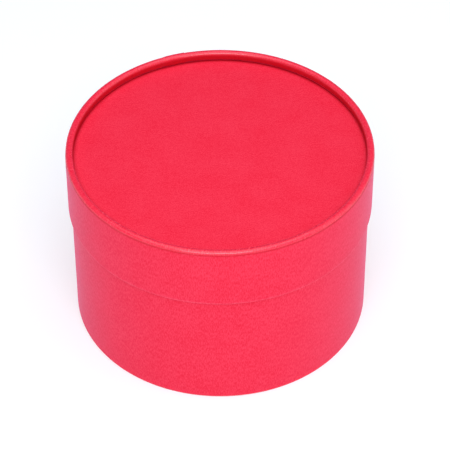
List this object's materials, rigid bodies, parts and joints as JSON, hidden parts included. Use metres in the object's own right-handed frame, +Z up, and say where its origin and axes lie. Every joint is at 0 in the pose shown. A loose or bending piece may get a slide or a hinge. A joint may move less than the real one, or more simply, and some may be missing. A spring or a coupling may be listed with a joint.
{
  "type": "round gift box",
  "caption": "Round rigid paperboard box with a telescoping lift-off lid; rolled rims around a recessed lid panel and a recessed floor.",
  "frame": {"origin": "centre of the flat under the foot rim, where the box stands", "axes": "+Z up along the box's axis of revolution, the way the lid lifts; X and Y are equivalent"},
  "size_m": [0.15, 0.15, 0.1],
  "materials": {
    "red_paper": "matte, fine felt-marked paper, dyed through, slight sheen",
    "grey_board": "matte recycled board",
    "white_paper": "matte uncoated paper"
  },
  "bodies": {
    "base": {"base_side_cover": "red_paper", "base_outer_tube": "grey_board", "base_inner_tube": "grey_board", "base_side_lining": "white_paper", "base_disc_cover": "red_paper", "base_disc_board": "grey_board", "base_disc_lining": "white_paper"},
    "lid": {"lid_side_cover": "red_paper", "lid_outer_tube": "grey_board", "lid_inner_tube": "grey_board", "lid_side_lining": "white_paper", "lid_disc_cover": "red_paper", "lid_disc_board": "grey_board", "lid_disc_lining": "white_paper"}
  },
  "joints": [
    {"name": "lid_lift", "type": "slide", "parent": "base", "child": "lid", "axis": [0, 0, 1], "range_m": [0, 0.1]}
  ]
}
